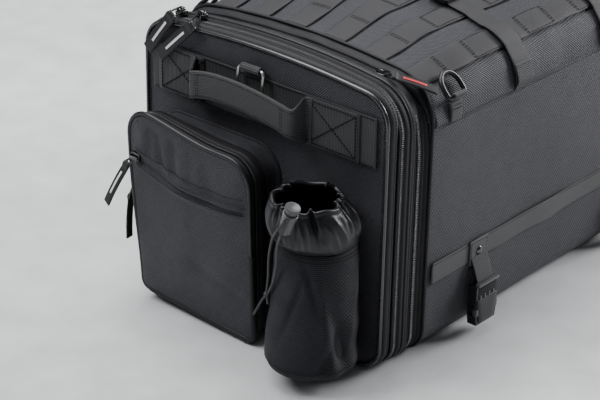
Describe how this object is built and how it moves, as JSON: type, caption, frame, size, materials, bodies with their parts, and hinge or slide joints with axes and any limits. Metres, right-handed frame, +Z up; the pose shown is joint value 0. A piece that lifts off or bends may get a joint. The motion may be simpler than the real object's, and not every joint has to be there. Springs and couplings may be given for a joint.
{
  "type": "motorcycle tail bag",
  "caption": "Soft box-shaped motorcycle tail bag with zipped end doors, expansion bellows, pockets, bottle sleeves, grab handles and webbing rows on top.",
  "frame": {"origin": "on the ground under the middle of the bag", "axes": "+X along the bag from one end door to the other, +Y across it towards the rear long side, +Z up"},
  "size_m": [0.7376, 0.3464, 0.3094],
  "materials": {
    "body_fabric": "ballistic weave polyester, foam backed, low sheen",
    "top_fabric": "ballistic weave polyester under sewn webbing rows",
    "end_fabric": "fine diagonal weave polyester, matt",
    "gusset_fabric": "plain weave bellows and gusset fabric",
    "collar_nylon": "thin shiny gathered nylon",
    "webbing": "ribbed polypropylene webbing",
    "side_webbing": "smooth woven webbing, lighter grey",
    "zip_tape": "reverse coil zip tape",
    "black_plastic": "moulded acetal, matt",
    "grey_plastic": "moulded acetal, worn satin",
    "nickel_wire": "bent steel wire, nickel plated",
    "black_chrome": "dark plated die-cast slider with a fabric pull",
    "cord": "braided polyester cord",
    "base_board": "black polyethylene sheet"
  },
  "bodies": {
    "bag_body": {"main_shell": "body_fabric", "base_board": "base_board", "top_molle_cover": "top_fabric", "side_webbing_front": "side_webbing", "side_webbing_rear": "side_webbing", "cross_strap_left": "webbing", "cross_strap_right": "webbing", "d_ring_loop_front_left": "webbing", "d_ring_loop_front_right": "webbing", "d_ring_loop_rear_left": "webbing", "d_ring_loop_rear_right": "webbing"},
    "end_left": {"expansion_frame_left": "gusset_fabric", "main_zip_left": "zip_tape", "expansion_zip_left": "zip_tape"},
    "door_left": {"end_door_left": "end_fabric", "end_webbing_left": "webbing", "carry_handle_left": "webbing", "pocket_body_left": "end_fabric", "bottle_sleeve_left": "end_fabric", "bottle_collar_left": "collar_nylon", "cord_lock_body_left": "grey_plastic", "drawcord_left": "cord"},
    "pocket_front_left": {"pocket_front_left": "end_fabric"},
    "webbing_ring_left": {"webbing_ring_left": "nickel_wire"},
    "lock_button_left": {"cord_lock_button_left": "grey_plastic"},
    "main_slider_a_left": {"main_slider_a_left": "black_chrome"},
    "main_slider_b_left": {"main_slider_b_left": "black_chrome"},
    "expansion_slider_left": {"expansion_slider_left": "black_chrome"},
    "front_zip_slider_left": {"front_zip_slider_left": "black_chrome"},
    "pocket_zip_slider_left": {"pocket_zip_slider_left": "black_chrome"},
    "end_right": {"expansion_frame_right": "gusset_fabric", "main_zip_right": "zip_tape", "expansion_zip_right": "zip_tape"},
    "door_right": {"end_door_right": "end_fabric", "end_webbing_right": "webbing", "carry_handle_right": "webbing", "pocket_body_right": "end_fabric", "bottle_sleeve_right": "end_fabric", "bottle_collar_right": "collar_nylon", "cord_lock_body_right": "grey_plastic", "drawcord_right": "cord"},
    "pocket_front_right": {"pocket_front_right": "end_fabric"},
    "webbing_ring_right": {"webbing_ring_right": "nickel_wire"},
    "lock_button_right": {"cord_lock_button_right": "grey_plastic"},
    "main_slider_a_right": {"main_slider_a_right": "black_chrome"},
    "main_slider_b_right": {"main_slider_b_right": "black_chrome"},
    "expansion_slider_right": {"expansion_slider_right": "black_chrome"},
    "front_zip_slider_right": {"front_zip_slider_right": "black_chrome"},
    "pocket_zip_slider_right": {"pocket_zip_slider_right": "black_chrome"},
    "d_ring_front_left": {"d_ring_front_left": "black_plastic"},
    "side_buckle_front_left": {"side_buckle_front_left": "black_plastic"},
    "d_ring_rear_left": {"d_ring_rear_left": "black_plastic"},
    "side_buckle_rear_left": {"side_buckle_rear_left": "black_plastic"},
    "d_ring_front_right": {"d_ring_front_right": "black_plastic"},
    "side_buckle_front_right": {"side_buckle_front_right": "black_plastic"},
    "d_ring_rear_right": {"d_ring_rear_right": "black_plastic"},
    "side_buckle_rear_right": {"side_buckle_rear_right": "black_plastic"},
    "strap_slider_left": {"strap_slider_left": "black_plastic"},
    "strap_slider_right": {"strap_slider_right": "black_plastic"}
  },
  "joints": [
    {"name": "end_expansion_left", "type": "slide", "parent": "bag_body", "child": "end_left", "axis": [-1, 0, 0], "range_m": [0, 0.055]},
    {"name": "door_hinge_left", "type": "hinge", "parent": "end_left", "child": "door_left", "pos_m": [-0.2539, 0, 0.002], "axis": [0, -1, 0], "range_deg": [0, 90]},
    {"name": "pocket_hinge_left", "type": "hinge", "parent": "door_left", "child": "pocket_front_left", "pos_m": [-0.30327, 0.05, 0.008], "axis": [0, -1, 0], "range_deg": [0, 90]},
    {"name": "end_expansion_right", "type": "slide", "parent": "bag_body", "child": "end_right", "axis": [1, 0, 0], "range_m": [0, 0.055]},
    {"name": "door_hinge_right", "type": "hinge", "parent": "end_right", "child": "door_right", "pos_m": [0.2539, 0, 0.002], "axis": [0, 1, 0], "range_deg": [0, 90]},
    {"name": "pocket_hinge_right", "type": "hinge", "parent": "door_right", "child": "pocket_front_right", "pos_m": [0.30327, -0.05, 0.008], "axis": [0, 1, 0], "range_deg": [0, 90]},
    {"name": "front_zip_left", "type": "slide", "parent": "pocket_front_left", "child": "front_zip_slider_left", "axis": [0.01, -0.9733, -0.2293], "range_m": [0, 0.05]},
    {"name": "pocket_zip_left", "type": "slide", "parent": "door_left", "child": "pocket_zip_slider_left", "axis": [0, 0, 1], "range_m": [0, 0.035]},
    {"name": "main_zip_a_left", "type": "hinge", "parent": "door_left", "child": "main_slider_a_left", "pos_m": [-0.246, 0.1105, 0.2395], "axis": [-1, 0, 0], "range_deg": [0, 60]},
    {"name": "main_zip_b_left", "type": "slide", "parent": "door_left", "child": "main_slider_b_left", "axis": [0, -0.9978, 0.0664], "range_m": [0, 0.0165]},
    {"name": "expansion_zip_left", "type": "hinge", "parent": "end_left", "child": "expansion_slider_left", "pos_m": [-0.2285, -0.1105, 0.2395], "axis": [1, 0, 0], "range_deg": [0, 45]},
    {"name": "webbing_ring_swing_left", "type": "hinge", "parent": "door_left", "child": "webbing_ring_left", "pos_m": [-0.2735, 0.0062, 0.269], "axis": [0, 1, 0], "range_deg": [-12, 3]},
    {"name": "lock_button_press_left", "type": "slide", "parent": "door_left", "child": "lock_button_left", "axis": [0, 0.3256, -0.9455], "range_m": [0, 0.004], "stiffness_N_per_m": 300},
    {"name": "front_zip_right", "type": "slide", "parent": "pocket_front_right", "child": "front_zip_slider_right", "axis": [-0.01, 0.9733, -0.2293], "range_m": [0, 0.05]},
    {"name": "pocket_zip_right", "type": "slide", "parent": "door_right", "child": "pocket_zip_slider_right", "axis": [0, 0, 1], "range_m": [0, 0.035]},
    {"name": "main_zip_a_right", "type": "hinge", "parent": "door_right", "child": "main_slider_a_right", "pos_m": [0.246, -0.1105, 0.2395], "axis": [1, 0, 0], "range_deg": [0, 60]},
    {"name": "main_zip_b_right", "type": "slide", "parent": "door_right", "child": "main_slider_b_right", "axis": [0, 0.9978, 0.0664], "range_m": [0, 0.0165]},
    {"name": "expansion_zip_right", "type": "hinge", "parent": "end_right", "child": "expansion_slider_right", "pos_m": [0.2285, 0.1105, 0.2395], "axis": [-1, 0, 0], "range_deg": [0, 45]},
    {"name": "webbing_ring_swing_right", "type": "hinge", "parent": "door_right", "child": "webbing_ring_right", "pos_m": [0.2735, -0.0062, 0.269], "axis": [0, -1, 0], "range_deg": [-12, 3]},
    {"name": "lock_button_press_right", "type": "slide", "parent": "door_right", "child": "lock_button_right", "axis": [0, -0.3256, -0.9455], "range_m": [0, 0.004], "stiffness_N_per_m": 300},
    {"name": "side_buckle_swing_front_left", "type": "hinge", "parent": "bag_body", "child": "side_buckle_front_left", "pos_m": [-0.13, -0.168, 0.052], "axis": [-1, 0, 0], "range_deg": [-4, 100]},
    {"name": "d_ring_swing_front_left", "type": "hinge", "parent": "bag_body", "child": "d_ring_front_left", "pos_m": [-0.178, -0.15944, 0.26178], "axis": [1, 0, 0], "range_deg": [0, 190]},
    {"name": "side_buckle_swing_rear_left", "type": "hinge", "parent": "bag_body", "child": "side_buckle_rear_left", "pos_m": [-0.13, 0.168, 0.052], "axis": [1, 0, 0], "range_deg": [-4, 100]},
    {"name": "d_ring_swing_rear_left", "type": "hinge", "parent": "bag_body", "child": "d_ring_rear_left", "pos_m": [-0.178, 0.15944, 0.26178], "axis": [-1, 0, 0], "range_deg": [0, 190]},
    {"name": "side_buckle_swing_front_right", "type": "hinge", "parent": "bag_body", "child": "side_buckle_front_right", "pos_m": [0.13, -0.168, 0.052], "axis": [-1, 0, 0], "range_deg": [-4, 100]},
    {"name": "d_ring_swing_front_right", "type": "hinge", "parent": "bag_body", "child": "d_ring_front_right", "pos_m": [0.178, -0.15944, 0.26178], "axis": [1, 0, 0], "range_deg": [0, 190]},
    {"name": "side_buckle_swing_rear_right", "type": "hinge", "parent": "bag_body", "child": "side_buckle_rear_right", "pos_m": [0.13, 0.168, 0.052], "axis": [1, 0, 0], "range_deg": [-4, 100]},
    {"name": "d_ring_swing_rear_right", "type": "hinge", "parent": "bag_body", "child": "d_ring_rear_right", "pos_m": [0.178, 0.15944, 0.26178], "axis": [-1, 0, 0], "range_deg": [0, 190]},
    {"name": "strap_slider_travel_left", "type": "slide", "parent": "bag_body", "child": "strap_slider_left", "axis": [0, 0.9885, 0.151], "range_m": [-0.01, 0.03]},
    {"name": "strap_slider_travel_right", "type": "slide", "parent": "bag_body", "child": "strap_slider_right", "axis": [0, 0.9885, 0.151], "range_m": [-0.01, 0.03]}
  ]
}
